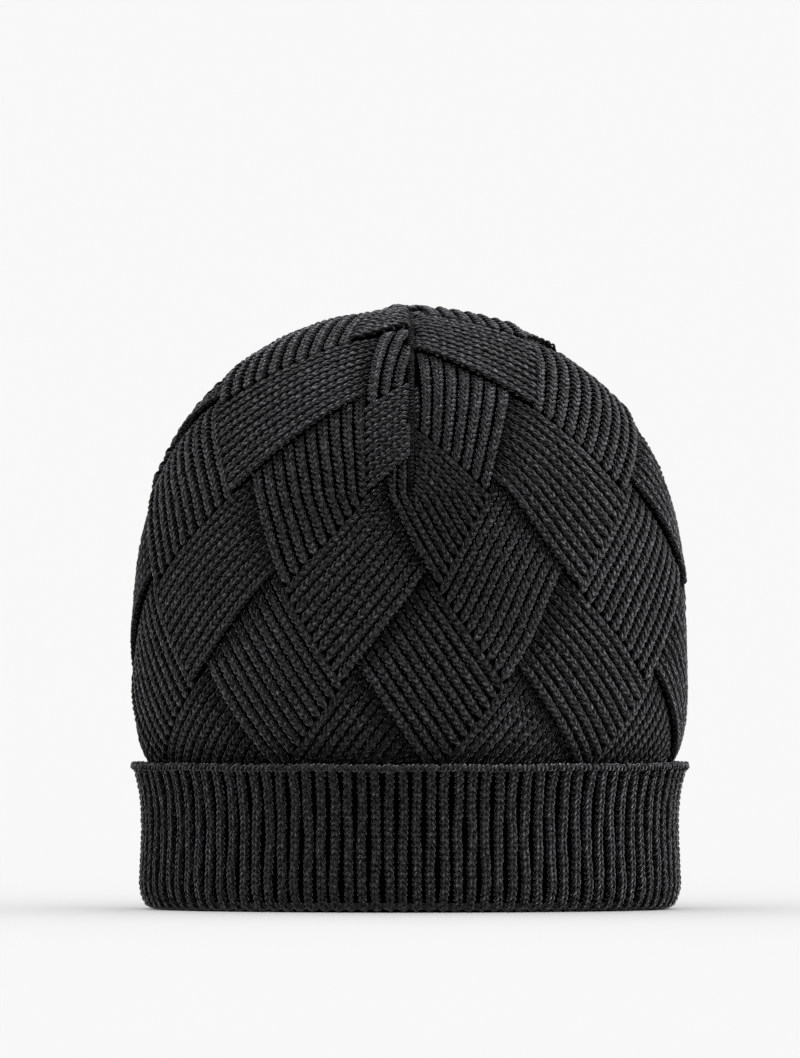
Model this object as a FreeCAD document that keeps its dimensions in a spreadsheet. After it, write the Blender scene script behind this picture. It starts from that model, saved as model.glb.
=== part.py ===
import FreeCAD, Part
import math
import os

# Cuffed knit beanie, standing on the fold of its turned-up cuff.
# +Z is up and the front faces -Y. The origin is on the floor, below the middle of the crown.
# Every level is an ellipse, wider from side to side than from front to back.

doc = FreeCAD.newDocument("knit_beanie")

# ---------------------------------------------------------------- driving dimensions, millimetres
DIMENSIONS = [
    ("overall_height", 213.0, "floor to the top of the crown"),
    ("crown_half_width", 97.1, "half the width where the crown is widest"),
    ("depth_ratio", 0.67, "front-to-back size over side-to-side size at the widest level"),
    ("widest_level", 81.0, "height of the widest level"),
    ("dome_power", 3.0, "how long the crown stays upright before it rounds over"),
    ("dome_round", 0.526, "how blunt the crown's top is"),
    ("crown_knit", 3.6, "thickness of the basket-weave knit"),
    ("crown_start", 47.0, "level where the rib ends and the basket weave starts"),
    ("dart_base", 145.0, "lowest stitch of the shaping darts"),
    ("seam_width", 3.0, "width of a linked seam"),
    ("seam_proud", 0.5, "how far a dart seam stands out of the crown"),
    ("seam_allowance", 2.0, "how far a seam's edge stands into the hat"),
    ("gather_radius", 6.0, "radius of the drawn-in stitches at the top"),
    ("rib_half_width", 90.0, "half the width of the inner rib layer"),
    ("rib_knit", 3.6, "thickness of one layer of rib"),
    ("rib_bottom", 6.3, "lowest level of the inner rib layer"),
    ("cuff_half_width", 94.3, "half the cuff's width at half its height"),
    ("cuff_knit", 3.8, "thickness of the outer rib layer"),
    ("cuff_low_bulge", 0.7, "extra half width of the cuff just above its fold"),
    ("cuff_flare", 2.7, "extra half width of the cuff at its free edge"),
    ("fold_height", 10.0, "height over which the cuff rolls under"),
    ("fold_roll", 5.0, "how far the fold rolls inwards"),
    ("fold_inner_lip", 0.6, "how far the fold's inner corner is rounded"),
    ("fold_step", 6.0, "level of the fold's inner shoulder"),
    ("cuff_top", 49.0, "level where the rib meets its starting edge"),
    ("edge_height", 2.8, "height of the starting edge"),
    ("edge_roll", 1.6, "how far the starting edge rounds over"),
    ("label_width", 24.0, "care label, from its seam to its free edge"),
    ("label_height", 42.0, "care label, along its seam"),
    ("label_thickness", 0.8, "care label, two layers of satin"),
    ("label_level", 70.0, "lowest level of the care label"),
    ("label_corner", 2.0, "corner radius of the care label"),
    ("label_hinge_y", 58.1, "distance of the label's seam behind the middle"),
    ("label_gap", 0.4, "gap between the label and its stitches"),
    ("label_lean", 6.0, "degrees that the label leans off the wall"),
    ("stitch_depth", 1.8, "depth of the stitches that hold the label"),
    ("stitch_length", 6.0, "length of one of those stitches"),
    ("stitch_count", 5.0, "how many of those stitches there are"),
]

sheet = doc.addObject("Spreadsheet::Sheet", "Dimensions")
value = {}
for row, (alias, number, note) in enumerate(DIMENSIONS, start=1):
    sheet.set(f"A{row}", alias)
    sheet.set(f"B{row}", str(number))
    sheet.set(f"C{row}", note)
    sheet.setAlias(f"B{row}", alias)
    value[alias] = number
doc.recompute()


def cell(alias):
    """The expression that reads one cell of the sheet."""
    return f"Dimensions.{alias}"


SIDE_EXCESS = f"({cell('crown_half_width')} * (1 - {cell('depth_ratio')}))"


# ---------------------------------------------------------------- construction helpers
def ellipse(name, half_width, half_depth, level):
    """A level ellipse whose sizes and height are expressions."""
    ring = doc.addObject("Part::Ellipse", name)
    ring.setExpression("MajorRadius", half_width)
    ring.setExpression("MinorRadius", half_depth)
    ring.setExpression("Placement.Base.z", level)
    return ring


def loft(name, rings):
    """A closed solid through a stack of ellipses, lowest first."""
    solid = doc.addObject("Part::Loft", name)
    solid.Sections = rings
    solid.Solid = True
    solid.Ruled = len(rings) == 2
    return solid


def stack(name, levels):
    """A solid through (half width, level) expressions, as deep as the width allows for."""
    rings = [
        ellipse(f"{name}_ring_{number}", width, f"{width} - {SIDE_EXCESS}", level)
        for number, (width, level) in enumerate(levels)
    ]
    return loft(name, rings)


def boolean(kind, name, base, tool):
    """base cut by tool, or what base and tool share."""
    result = doc.addObject(f"Part::{kind}", name)
    result.Base = base
    result.Tool = tool
    return result


def block(name, low, size):
    """A box from six expressions: its low corner and its size."""
    box = doc.addObject("Part::Box", name)
    for side, expression in zip(("Length", "Width", "Height"), size):
        box.setExpression(side, expression)
    for axis, expression in zip("xyz", low):
        box.setExpression(f"Placement.Base.{axis}", expression)
    return box


# ---------------------------------------------------------------- crown
# Share of the height from rib to widest level, and share of the width gained by then.
WAIST = [(0.0, 0.0), (0.24, 0.60), (0.5, 0.83)]
# Share of the height from the widest level to the top.
DOME = [0.0, 0.2, 0.4, 0.55, 0.67, 0.77, 0.85, 0.91, 0.95, 0.975, 0.99, 0.999]


def crown_solid(name, offset):
    """The crown's outer form, moved out by an offset expression, as one closed solid."""
    rings = []
    for rise, gain in WAIST:
        width = (
            f"{cell('rib_half_width')} + {offset}"
            f" + {gain} * ({cell('crown_half_width')} - {cell('rib_half_width')})"
        )
        level = f"{cell('crown_start')} + {rise} * ({cell('widest_level')} - {cell('crown_start')})"
        number = len(rings)
        rings.append(ellipse(f"{name}_ring_{number}", width, f"{width} - {SIDE_EXCESS}", level))
    for share in DOME:
        narrowing = f"(1 - {share}^{cell('dome_power')})^{cell('dome_round')}"
        width = f"({cell('crown_half_width')} + {offset}) * {narrowing}"
        depth = f"({cell('crown_half_width')} * {cell('depth_ratio')} + {offset}) * {narrowing}"
        height = f"({cell('overall_height')} + {offset} - {cell('widest_level')})"
        level = f"{cell('widest_level')} + {share} * {height}"
        rings.append(ellipse(f"{name}_ring_{len(rings)}", width, depth, level))
    return loft(name, rings)


crown_outer = crown_solid("crown_outer_form", "0")
crown_inner = crown_solid("crown_inner_form", f"-{cell('crown_knit')}")
seam_outer = crown_solid("seam_outer_form", cell("seam_proud"))
seam_inner = crown_solid("seam_inner_form", f"-({cell('crown_knit')} + {cell('seam_allowance')})")
crown_shell = boolean("Cut", "crown_shell", crown_outer, crown_inner)
dart_shell = boolean("Cut", "dart_shell", seam_outer, seam_inner)
back_shell = boolean("Cut", "back_shell", crown_outer, seam_inner)

gather_post = doc.addObject("Part::Cylinder", "gather_post")
gather_post.setExpression("Radius", cell("gather_radius"))
gather_post.setExpression("Height", f"2 * {cell('overall_height')}")
# Its join line is turned away from the join line of the crown's surfaces.
gather_post.Placement.Rotation = FreeCAD.Rotation(FreeCAD.Vector(0, 0, 1), 45)

REACH = f"(2 * {cell('crown_half_width')})"
HALF_SEAM = f"({cell('seam_width')} / 2)"
DART_HEIGHT = f"({cell('overall_height')} - {cell('dart_base')} + {cell('seam_proud')})"
CROWN_BAND = f"({cell('dart_base')} - {cell('crown_start')})"


def all_round(name, low_level, height):
    """A slab wider than the hat."""
    return block(name, (f"-{REACH}", f"-{REACH}", low_level), (f"2 * {REACH}", f"2 * {REACH}", height))


def back_slot(name, low_level, height):
    """The upright slot at the middle of the back, as wide as a seam."""
    return block(name, (f"-{HALF_SEAM}", "0", low_level), (cell("seam_width"), REACH, height))


# The tube between the rib and the darts is open at the back, where its seam closes it.
crown_slab = all_round("crown_slab", cell("crown_start"), CROWN_BAND)
crown_slot = back_slot("crown_slot", cell("crown_start"), CROWN_BAND)
crown_tube = boolean("Common", "crown_tube", crown_shell, crown_slab)
boolean("Cut", "crown_body", crown_tube, crown_slot)
boolean("Common", "back_seam", back_shell, crown_slot)

# Four gores close the dome, one in each quarter, with a seam's width between them.
GORES = [
    ("gore_front_left", -1, -1),
    ("gore_front_right", 1, -1),
    ("gore_back_left", -1, 1),
    ("gore_back_right", 1, 1),
]
for label, side, face in GORES:
    low_x = HALF_SEAM if side > 0 else f"-{HALF_SEAM} - {REACH}"
    low_y = HALF_SEAM if face > 0 else f"-{HALF_SEAM} - {REACH}"
    quarter = block(f"{label}_quarter", (low_x, low_y, cell("dart_base")), (REACH, REACH, DART_HEIGHT))
    sector = boolean("Cut", f"{label}_sector", quarter, gather_post)
    boolean("Common", label, crown_shell, sector)

# A linked seam runs up each dart; the one at the back carries on from the back seam.
DARTS = {
    "dart_seam_front": ((f"-{HALF_SEAM}", f"-{REACH}"), (cell("seam_width"), REACH)),
    "dart_seam_back": ((f"-{HALF_SEAM}", "0"), (cell("seam_width"), REACH)),
    "dart_seam_left": ((f"-{REACH}", f"-{HALF_SEAM}"), (REACH, cell("seam_width"))),
    "dart_seam_right": (("0", f"-{HALF_SEAM}"), (REACH, cell("seam_width"))),
}
for label, (corner, sides) in DARTS.items():
    strip = block(f"{label}_strip", (*corner, cell("dart_base")), (*sides, DART_HEIGHT))
    run = boolean("Cut", f"{label}_run", strip, gather_post)
    boolean("Common", label, dart_shell, run)

# The last stitches are drawn together into a small round knot of knit.
top_slab = all_round("top_slab", cell("dart_base"), DART_HEIGHT)
crown_top = boolean("Common", "crown_top", crown_shell, top_slab)
boolean("Common", "crown_gather", crown_top, gather_post)


# ---------------------------------------------------------------- inner rib layer
def rib_stack(name, inset):
    """An upright elliptic solid as wide as the inner rib layer, less an inset."""
    width = f"{cell('rib_half_width')} - {inset}"
    return stack(name, [(width, cell("rib_bottom")), (width, cell("crown_start"))])


RIB_HEIGHT = f"({cell('crown_start')} - {cell('rib_bottom')})"
rib_outer = rib_stack("rib_outer_form", "0")
rib_inner = rib_stack("rib_inner_form", cell("rib_knit"))
rib_seam_inner = rib_stack("rib_seam_form", f"({cell('rib_knit')} + {cell('seam_allowance')})")
rib_slot = back_slot("rib_slot", cell("rib_bottom"), RIB_HEIGHT)
rib_tube = boolean("Cut", "rib_tube", rib_outer, rib_inner)
boolean("Cut", "rib_inner_layer", rib_tube, rib_slot)
rib_back_shell = boolean("Cut", "rib_back_shell", rib_outer, rib_seam_inner)
boolean("Common", "rib_back_seam", rib_back_shell, rib_slot)

# ---------------------------------------------------------------- turned-up cuff
# Share of the height from fold to free edge, with the extra half width there.
CUFF = [
    (0.0, cell("cuff_low_bulge")),
    (0.25, f"0.25 * {cell('cuff_low_bulge')}"),
    (0.5, "0"),
    (0.8, f"0.25 * {cell('cuff_flare')}"),
    (1.0, cell("cuff_flare")),
]


def cuff_stack(name, inset):
    """The cuff's upright form, less an inset, from its fold to its free edge."""
    levels = []
    for share, bulge in CUFF:
        width = f"{cell('cuff_half_width')} - {inset} + {bulge}"
        levels.append((width, f"{cell('fold_height')} + {share} * ({cell('cuff_top')} - {cell('fold_height')})"))
    return stack(name, levels)


CUFF_HEIGHT = f"({cell('cuff_top')} - {cell('fold_height')})"
cuff_outer = cuff_stack("cuff_outer_form", "0")
cuff_inner = cuff_stack("cuff_inner_form", cell("cuff_knit"))
cuff_slot = back_slot("cuff_slot", cell("fold_height"), CUFF_HEIGHT)
cuff_tube = boolean("Cut", "cuff_tube", cuff_outer, cuff_inner)
boolean("Cut", "cuff_outer_layer", cuff_tube, cuff_slot)
boolean("Common", "cuff_back_seam", cuff_tube, cuff_slot)

# The fold rolls under along a quarter ellipse to a narrow flat ring on the floor.
LOW_HALF_WIDTH = f"({cell('cuff_half_width')} + {cell('cuff_low_bulge')})"
FOLD = [0.0, 0.1, 0.3, 0.6, 1.0]
fold_levels = []
lip_levels = []
for share in FOLD:
    level = f"{share} * {cell('fold_height')}"
    round_in = f"(1 - sqrt(1 - (1 - {share})^2))"
    fold_levels.append((f"{LOW_HALF_WIDTH} - {cell('fold_roll')} * {round_in}", level))
    lip = f"{cell('fold_inner_lip')} * {round_in}"
    lip_levels.append((f"{cell('rib_half_width')} - {cell('rib_knit')} + {lip}", level))
fold_outer = stack("fold_outer_form", fold_levels)
fold_hollow = stack("fold_hollow_form", lip_levels)
layer_gap = stack("layer_gap_form", [
    (f"{LOW_HALF_WIDTH} - {cell('cuff_knit')}", cell("fold_step")),
    (f"{LOW_HALF_WIDTH} - {cell('cuff_knit')}", cell("fold_height")),
])
fold_ring = boolean("Cut", "fold_ring", fold_outer, fold_hollow)
boolean("Cut", "cuff_fold", fold_ring, layer_gap)

# The starting edge is a firm roll along the cuff's free edge.
EDGE = [0.0, 0.4, 0.75, 1.0]
EDGE_BLUNT = 0.8    # how far round its quarter circle the roll goes
edge_outer_levels = []
edge_inner_levels = []
for share in EDGE:
    level = f"{cell('cuff_top')} + {share} * {cell('edge_height')}"
    round_over = f"{cell('edge_roll')} * (1 - sqrt(1 - ({EDGE_BLUNT} * {share})^2))"
    free_half_width = f"{cell('cuff_half_width')} + {cell('cuff_flare')}"
    edge_outer_levels.append((f"{free_half_width} - {round_over}", level))
    edge_inner_levels.append((f"{free_half_width} - {cell('cuff_knit')} + {round_over} / 2", level))
edge_outer = stack("edge_outer_form", edge_outer_levels)
edge_inner = stack("edge_inner_form", edge_inner_levels)
boolean("Cut", "cuff_edge", edge_outer, edge_inner)


# ---------------------------------------------------------------- care label
def plane_of(body, role):
    """One of a body's own origin planes."""
    return next(plane for plane in body.Origin.OriginFeatures if plane.Role == role)


def rounded_rectangle(sketch, width, height, corner):
    """Draws a rectangle from the origin with two rounded free corners."""
    points = [
        FreeCAD.Vector(0, 0, 0),
        FreeCAD.Vector(width - corner, 0, 0),
        FreeCAD.Vector(width, corner, 0),
        FreeCAD.Vector(width, height - corner, 0),
        FreeCAD.Vector(width - corner, height, 0),
        FreeCAD.Vector(0, height, 0),
    ]
    low_middle = FreeCAD.Vector(width - corner, corner, 0)
    high_middle = FreeCAD.Vector(width - corner, height - corner, 0)
    upright = FreeCAD.Vector(0, 0, 1)
    sketch.addGeometry(Part.LineSegment(points[0], points[1]), False)
    low_round = Part.Circle(low_middle, upright, corner)
    sketch.addGeometry(Part.ArcOfCircle(low_round, -math.pi / 2, 0), False)
    sketch.addGeometry(Part.LineSegment(points[2], points[3]), False)
    high_round = Part.Circle(high_middle, upright, corner)
    sketch.addGeometry(Part.ArcOfCircle(high_round, 0, math.pi / 2), False)
    sketch.addGeometry(Part.LineSegment(points[4], points[5]), False)
    sketch.addGeometry(Part.LineSegment(points[5], points[0]), False)


label_body = doc.addObject("PartDesign::Body", "care_label")
label_sketch = label_body.newObject("Sketcher::SketchObject", "care_label_outline")
label_sketch.AttachmentSupport = [(plane_of(label_body, "XZ_Plane"), "")]
label_sketch.MapMode = "FlatFace"
rounded_rectangle(label_sketch, value["label_width"], value["label_height"], value["label_corner"])
label_pad = label_body.newObject("PartDesign::Pad", "care_label_satin")
label_pad.Profile = label_sketch
label_pad.setExpression("Length", cell("label_thickness"))
label_pad.Midplane = True
label_body.Placement.Rotation = FreeCAD.Rotation(FreeCAD.Vector(0, 0, 1), -value["label_lean"])
label_body.setExpression("Placement.Base.x", f"{HALF_SEAM} + 2 * {cell('label_gap')}")
label_body.setExpression("Placement.Base.y", cell("label_hinge_y"))
label_body.setExpression("Placement.Base.z", cell("label_level"))

# A row of short stitches on the back seam catches the label's edge.
stitches = []
pitch = f"(({cell('label_height')} - {cell('stitch_length')}) / ({cell('stitch_count')} - 1))"
for number in range(int(value["stitch_count"])):
    stitches.append(block(
        f"label_stitch_{number}",
        (
            HALF_SEAM,
            f"{cell('label_hinge_y')} + {cell('label_thickness')} / 2 + {cell('label_gap')}",
            f"{cell('label_level')} + {number} * {pitch}",
        ),
        (cell("label_gap"), cell("stitch_depth"), cell("stitch_length")),
    ))
label_stitches = doc.addObject("Part::Compound", "label_stitches")
label_stitches.Links = stitches

# ---------------------------------------------------------------- check and write
NODES = [
    "crown_body",
    *[label for label, _, _ in GORES],
    *DARTS,
    "crown_gather",
    "back_seam",
    "rib_inner_layer",
    "rib_back_seam",
    "cuff_fold",
    "cuff_outer_layer",
    "cuff_back_seam",
    "cuff_edge",
    "care_label",
    "label_stitches",
]

doc.recompute()
for item in doc.Objects:
    if "Invalid" in item.State or "Error" in item.State:
        raise RuntimeError(f"{item.Label} failed: {item.State}")

os.makedirs("parts", exist_ok=True)
for node in NODES:
    shape = doc.getObject(node).Shape
    if shape.isNull() or not shape.isValid() or not shape.Solids:
        raise RuntimeError(f"{node} has no valid solid")
    shape.exportStep(f"parts/{node}.step")
    box = shape.BoundBox
    print(f"{node}: {len(shape.Solids)} solid, {shape.Volume / 1000:.2f} cm3, "
          f"z {box.ZMin:.2f} to {box.ZMax:.2f}, x {box.XMin:.2f} to {box.XMax:.2f}")
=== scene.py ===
import math

import bpy
import numpy as np
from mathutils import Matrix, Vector


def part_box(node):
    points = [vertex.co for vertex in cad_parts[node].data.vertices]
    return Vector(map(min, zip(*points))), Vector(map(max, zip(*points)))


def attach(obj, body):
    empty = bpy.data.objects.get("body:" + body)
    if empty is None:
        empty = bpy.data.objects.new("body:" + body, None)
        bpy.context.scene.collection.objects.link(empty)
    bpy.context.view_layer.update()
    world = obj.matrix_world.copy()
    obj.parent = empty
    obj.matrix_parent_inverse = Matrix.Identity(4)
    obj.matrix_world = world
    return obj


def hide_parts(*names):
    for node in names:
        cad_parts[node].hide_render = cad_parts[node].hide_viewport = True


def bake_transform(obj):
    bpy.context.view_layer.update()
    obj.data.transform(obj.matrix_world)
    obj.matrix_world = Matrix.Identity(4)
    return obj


# A cuffed knit beanie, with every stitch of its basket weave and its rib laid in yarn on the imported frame.
# Lengths on the cloth are millimetres, and become metres where a mesh is made. +Z is up, the front faces -Y.
# `turn` is the share of the way round the hat, from the middle of the front towards +X.
# `run` is the distance up along a wall of the hat, and `lift` the distance out from its face.

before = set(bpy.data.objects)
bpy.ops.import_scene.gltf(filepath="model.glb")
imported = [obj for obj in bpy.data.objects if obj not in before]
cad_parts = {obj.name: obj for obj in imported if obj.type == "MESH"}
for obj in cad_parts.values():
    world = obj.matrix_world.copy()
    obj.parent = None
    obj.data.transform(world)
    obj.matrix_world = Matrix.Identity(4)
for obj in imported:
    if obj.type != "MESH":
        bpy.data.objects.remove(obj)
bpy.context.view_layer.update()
chance = np.random.default_rng(11)

MM = 0.001
SIDES = 6  # round a yarn
YARN_ROUND = 4.0  # mm round the yarn
SHADE_FLOOR, SHADE_DEPTH = 0.41, 0.72  # mm, for the shade painted between yarns: how deep the painted light stops, and how far up it is full
CREST_AIR = 0.45  # how much painted light the crest of a stitch keeps, and so an edge that has no stitches
STEPS = np.array([0.0, 0.1, 0.3, 0.55, 0.8, 1.0])  # along a stitch's leg


# ------------------------------------------------------------------------------------------ sizes
def box_mm(node):
    """The lowest and highest corners of a CAD node, in millimetres."""
    low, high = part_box(node)
    return np.array(low) / MM, np.array(high) / MM


CROWN_START = box_mm("crown_body")[0][2]
DART_BASE = box_mm("crown_body")[1][2]
CROWN_TOP = box_mm("crown_gather")[1][2]
CROWN_HALF_WIDTH, CROWN_HALF_DEPTH = box_mm("crown_body")[1][:2]
SIDE_EXCESS = CROWN_HALF_WIDTH - CROWN_HALF_DEPTH  # half width less half depth, everywhere below the dome
RIB_HALF_WIDTH = box_mm("rib_inner_layer")[1][0]
RIB_BOTTOM = box_mm("rib_inner_layer")[0][2]
CUFF_TOP = box_mm("cuff_outer_layer")[1][2]
RIM_TOP = box_mm("cuff_edge")[1][2]
FOLD_TOP = box_mm("cuff_fold")[1][2]
WIDEST_LEVEL = 81.0  # where the crown is widest
DOME_POWER, DOME_ROUND = 3.0, 0.526  # how full the dome's shoulders and its top are
DOME_TOP = CROWN_TOP - 1.7  # the yarn's own thickness fills the rest
DOME_TIP = 0.002  # the share of the widest ring at which the dome closes
UNDER_REACH = 3.0  # how far the cuff's cloth runs in under the hat
RIM_COVER = 2.0  # how far the cuff's outer layer runs on, behind its rim
CUFF_LEVELS = [10.0, 20.0, 30.0, 41.0, 49.0]  # the cuff hugs the rib, and flares towards its rim
CUFF_HALF_WIDTHS = [95.0, 94.5, 94.3, 95.0, 97.0]


# ------------------------------------------------------------------------------------------ walls
ring_angle = np.linspace(0, 2 * math.pi, 2881)
ring_pace = np.hypot(CROWN_HALF_WIDTH * np.cos(ring_angle), CROWN_HALF_DEPTH * np.sin(ring_angle))
ring_turn = np.concatenate(([0], np.cumsum((ring_pace[1:] + ring_pace[:-1]) / 2)))
ring_turn /= ring_turn[-1]


class Wall:
    """One wall of the hat: level ellipses of half width, half depth and height, lowest first."""

    def __init__(self, half_width, level, half_depth=None):
        half_depth = half_width - SIDE_EXCESS if half_depth is None else half_depth
        self.rings = [half_width, half_depth, level]
        radius = np.sqrt((half_width**2 + half_depth**2) / 2)
        self.run = np.concatenate(([0], np.cumsum(np.hypot(np.diff(radius), np.diff(level)))))
        self.slopes = [np.gradient(values, self.run) for values in self.rings]
        total = half_width + half_depth
        span = np.sqrt((3 * half_width + half_depth) * (half_width + 3 * half_depth))
        self.girths = math.pi * (3 * total - span)

    def girth(self, run):
        """The distance round the wall at a run."""
        return np.interp(run, self.run, self.girths)

    def run_at(self, level):
        """The run where the wall has this height."""
        return float(np.interp(level, self.rings[2], self.run))

    def place(self, turn, run, lift):
        """Points at a turn, a run and a lift, and the wall's outward directions there."""
        a, b, z = (np.interp(run, self.run, values) for values in self.rings)
        a_rise, b_rise, z_rise = (np.interp(run, self.run, values) for values in self.slopes)
        angle = np.interp(turn % 1.0, ring_turn, ring_angle)
        s, c = np.sin(angle), np.cos(angle)
        out = np.stack([b * s * z_rise, -a * c * z_rise, -a * b_rise * c * c - b * a_rise * s * s], -1)
        out /= np.linalg.norm(out, axis=-1, keepdims=True)
        return np.stack([a * s, -b * c, z], -1) + out * np.asarray(lift)[..., None], out


def crown_wall():
    """The crown from the end of the rib, over the widest level, to the middle of the top."""
    rise = np.linspace(0, 1, 30)[:-1]
    gain = 1 - (1 - rise) ** 3
    waist = RIB_HALF_WIDTH + gain * (CROWN_HALF_WIDTH - RIB_HALF_WIDTH)
    waist_level = CROWN_START + rise * (WIDEST_LEVEL - CROWN_START)
    share = np.sin(np.linspace(math.pi / 2, 0, 300))[:-1]
    share = np.append(share, DOME_TIP)
    level = WIDEST_LEVEL + (DOME_TOP - WIDEST_LEVEL) * (1 - share ** (1 / DOME_ROUND)) ** (1 / DOME_POWER)
    return Wall(
        np.concatenate([waist, CROWN_HALF_WIDTH * share]),
        np.concatenate([waist_level, level]),
        np.concatenate([waist - SIDE_EXCESS, CROWN_HALF_DEPTH * share]),
    )


def cuff_wall():
    """The turned-up cuff: out from under the hat, round its fold and up to its free edge."""
    under = np.linspace(RIB_HALF_WIDTH - UNDER_REACH, RIB_HALF_WIDTH, 8)[:-1]
    bend = np.linspace(0, math.pi / 2, 24)[:-1]
    fold_out = box_mm("cuff_fold")[1][0] - RIB_HALF_WIDTH
    up = np.linspace(FOLD_TOP, CUFF_TOP + RIM_COVER, 44)
    shape = np.polyfit(CUFF_LEVELS, CUFF_HALF_WIDTHS, 3)
    return Wall(
        np.concatenate([under, RIB_HALF_WIDTH + fold_out * np.sin(bend), np.polyval(shape, up)]),
        np.concatenate([0 * under, FOLD_TOP * (1 - np.cos(bend)), up]),
    )


crown = crown_wall()
cuff = cuff_wall()
rib = Wall(np.full(24, RIB_HALF_WIDTH), np.linspace(RIB_BOTTOM, CROWN_START, 24))


# ------------------------------------------------------------------------------------------ meshes
MAP_EDGE = 0.05  # clear margin at the edge of a length of yarn's own cell on the bake map
SKIN_LONG, SKIN_WIDE = 0.9, 0.7  # the part of the cell that its skin takes, with its two ends above
END_ROUND, END_PLACES = 0.08, ((0.3, 0.88), (0.7, 0.88))
SHEET_EDGE = 0.005  # clear margin round each surface of a grid mesh


def build(name, points, loops, sizes, maps, painted_light, material, body, slot, nodes):
    """A smooth mesh piece.

    maps holds two coordinates for each corner of each face, by layer name, and the argument after them the
    shade painted into each point's colour, as the share of light that it keeps, from 0 deep between yarns to
    1 on top of one. A piece with no body of its own is left without a parent, with its place baked into its
    points.
    """
    mesh = bpy.data.meshes.new(name)
    mesh.vertices.add(len(points))
    mesh.vertices.foreach_set("co", (points * MM).astype(np.float32).ravel())
    mesh.loops.add(len(loops))
    mesh.loops.foreach_set("vertex_index", loops.astype(np.int32))
    mesh.polygons.add(len(sizes))
    starts = np.concatenate(([0], np.cumsum(sizes)[:-1]))
    mesh.polygons.foreach_set("loop_start", starts.astype(np.int32))
    mesh.polygons.foreach_set("loop_total", sizes.astype(np.int32))
    for layer, values in maps.items():
        mesh.uv_layers.new(name=layer).data.foreach_set("uv", values.astype(np.float32).ravel())
    air = mesh.attributes.new("painted_light", "FLOAT", "POINT")
    air.data.foreach_set("value", painted_light.astype(np.float32).ravel())
    mesh.update(calc_edges=True)
    mesh.shade_smooth()
    mesh.materials.append(material)
    piece = bpy.data.objects.new(name, mesh)
    bpy.context.scene.collection.objects.link(piece)
    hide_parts(*nodes)
    if body:
        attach(piece, body)
    else:
        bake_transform(piece)
    return piece


def yarn_mesh(lines):
    """Points, faces and maps of short closed lengths of yarn along centre lines."""
    centres, outs, radii, depths = lines
    count, steps = centres.shape[:2]
    along = np.gradient(centres, axis=1)
    along /= np.linalg.norm(along, axis=-1, keepdims=True)
    side = np.cross(along, outs)
    side /= np.linalg.norm(side, axis=-1, keepdims=True)
    up = np.cross(side, along)
    angle = (np.arange(SIDES) - 0.5) * 2 * math.pi / SIDES
    ring = np.cos(angle)[:, None] * side[:, :, None] + np.sin(angle)[:, None] * up[:, :, None]
    points = centres[:, :, None] + radii[:, :, None, None] * ring
    height = depths[:, :, None] + radii[:, :, None] * np.sin(angle)
    # Painted shade: the deeper a point lies among the yarns, the less light its colour keeps.
    painted_light = np.clip((height + SHADE_FLOOR) / SHADE_DEPTH, 0, 1)

    def corner(step, place):
        return step * SIDES + place % SIDES

    quads, marks = [], []
    for step in range(steps - 1):
        for place in range(SIDES):
            quads += [corner(step, place), corner(step + 1, place)]
            quads += [corner(step + 1, place + 1), corner(step, place + 1)]
            marks += [(step, place), (step + 1, place), (step + 1, place + 1), (step, place + 1)]
    ends = [corner(0, place) for place in range(SIDES)]
    ends += [corner(steps - 1, SIDES - 1 - place) for place in range(SIDES)]
    marks = np.array(marks, float)
    first = np.arange(count)[:, None] * steps * SIDES
    loops = (first + np.array(quads + ends)).ravel()
    sizes = np.tile([4] * (len(quads) // 4) + [SIDES] * 2, count)

    travel = np.linalg.norm(np.diff(centres, axis=1), axis=-1)
    travel = np.concatenate([np.zeros((count, 1)), np.cumsum(travel, 1)], 1) * MM
    offset = chance.random((count, 2))
    lie_u = travel[:, marks[:, 0].astype(int)] + offset[:, :1]
    lie_v = marks[:, 1] / SIDES + offset[:, 1:]
    cap_u = np.repeat(travel[:, [0, -1]], SIDES, 1) + offset[:, :1]
    cap_v = np.tile(np.arange(SIDES) / SIDES, 2) + offset[:, 1:]
    lie = np.stack([np.concatenate([lie_u, cap_u], 1), np.concatenate([lie_v, cap_v], 1)], -1)

    cells = math.ceil(math.sqrt(count))
    column, row = np.arange(count) % cells, np.arange(count) // cells
    skin_u = MAP_EDGE + SKIN_LONG * marks[:, 0] / (steps - 1)
    skin_v = MAP_EDGE + SKIN_WIDE * marks[:, 1] / SIDES
    strip = np.stack([skin_u, skin_v], -1)
    hexagon = np.stack([np.cos(angle), np.sin(angle)], -1) * END_ROUND
    caps = np.concatenate([hexagon + END_PLACES[0], hexagon[::-1] * (1, -1) + END_PLACES[1]])
    cell = np.concatenate([strip, caps])
    bake = (np.stack([column, row], -1)[:, None] + cell) / cells
    maps = {"yarn": lie.reshape(-1, 2), "OFBake": bake.reshape(-1, 2)}
    return points.reshape(-1, 3), loops, sizes, maps, painted_light


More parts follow.
